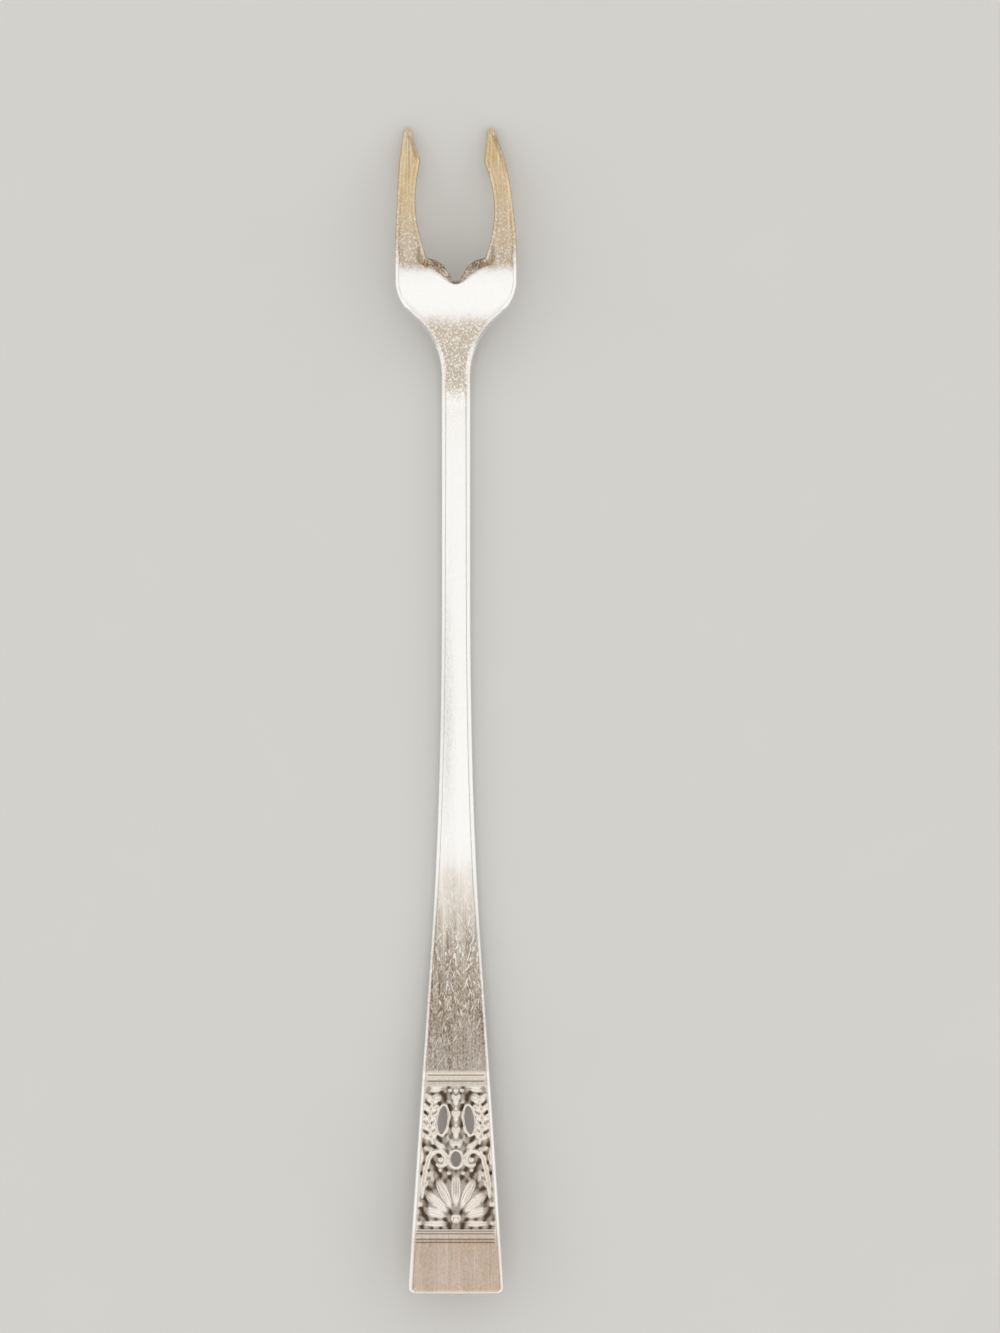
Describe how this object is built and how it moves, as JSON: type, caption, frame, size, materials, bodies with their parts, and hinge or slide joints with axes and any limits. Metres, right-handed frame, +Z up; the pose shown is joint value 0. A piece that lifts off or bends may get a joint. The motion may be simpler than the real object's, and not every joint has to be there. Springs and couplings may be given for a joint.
{
  "type": "oyster fork",
  "caption": "Slim silver-plated fork with barbed tines arching from a rounded head, a long tapered handle and a struck, pierced ornament panel near its square end, for spearing small foods.",
  "frame": {"origin": "centre of the fork's box, on the surface it lies on", "axes": "+X across the fork, +Y along it from the handle end to the tine tips, +Z up out of its back"},
  "size_m": [0.0162, 0.1556, 0.0071],
  "materials": {
    "nickel_silver": "die-struck copper, nickel and zinc alloy, hidden under the plating",
    "silver_plate": "worn polished silver plate with fine scratches, dark patina left in the recesses"
  },
  "bodies": {
    "root": {"fork_blank": "nickel_silver", "silver_plating": "silver_plate"}
  },
  "joints": []
}
